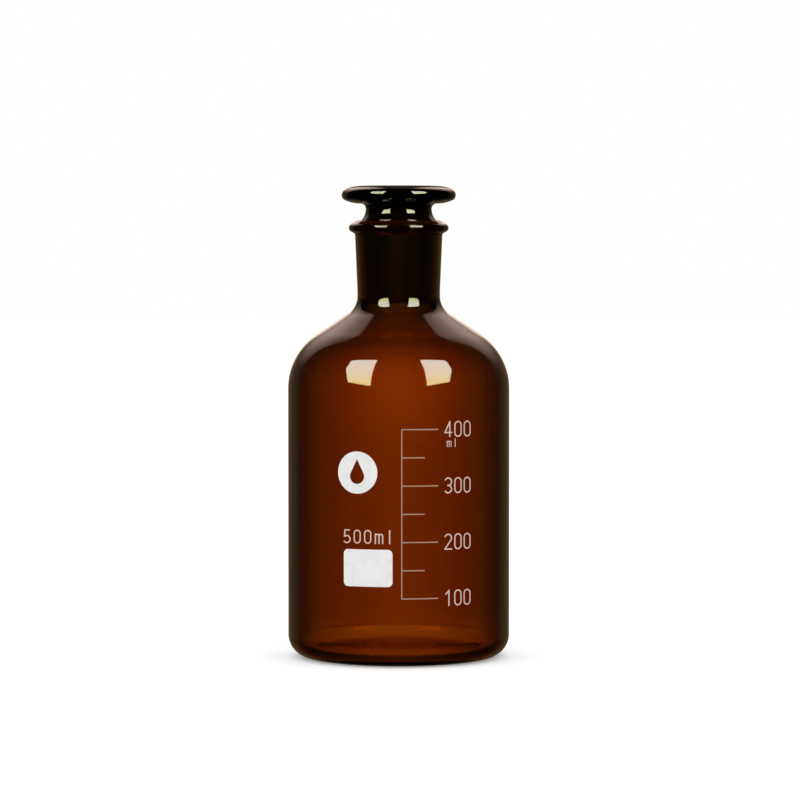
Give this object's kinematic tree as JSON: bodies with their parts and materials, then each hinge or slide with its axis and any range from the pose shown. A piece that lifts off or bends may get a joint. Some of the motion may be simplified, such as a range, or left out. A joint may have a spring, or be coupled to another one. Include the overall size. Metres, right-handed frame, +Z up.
{
  "type": "reagent bottle",
  "caption": "Amber glass reagent bottle with a narrow neck, a loose ground-glass stopper with a flat head, and an enamelled volume scale.",
  "frame": {"origin": "centre of the base, on the plane the bottle stands on", "axes": "+Z up along the bottle's axis, towards the stopper; the printed scale faces -Y and reads left to right along +X"},
  "size_m": [0.086, 0.086, 0.183],
  "materials": {
    "amber_glass": "gloss",
    "enamel": "satin",
    "matt_enamel": "matte"
  },
  "bodies": {
    "bottle": {"bottle": "amber_glass", "graduation_scale": "enamel", "scale_numerals": "enamel", "scale_unit": "enamel", "capacity_mark": "enamel", "writing_panel": "matt_enamel", "plain_emblem": "matt_enamel"},
    "stopper": {"stopper": "amber_glass"}
  },
  "joints": [
    {"name": "stopper_lift", "type": "slide", "parent": "bottle", "child": "stopper", "axis": [0, 0, 1], "range_m": [0, 0.05]}
  ]
}
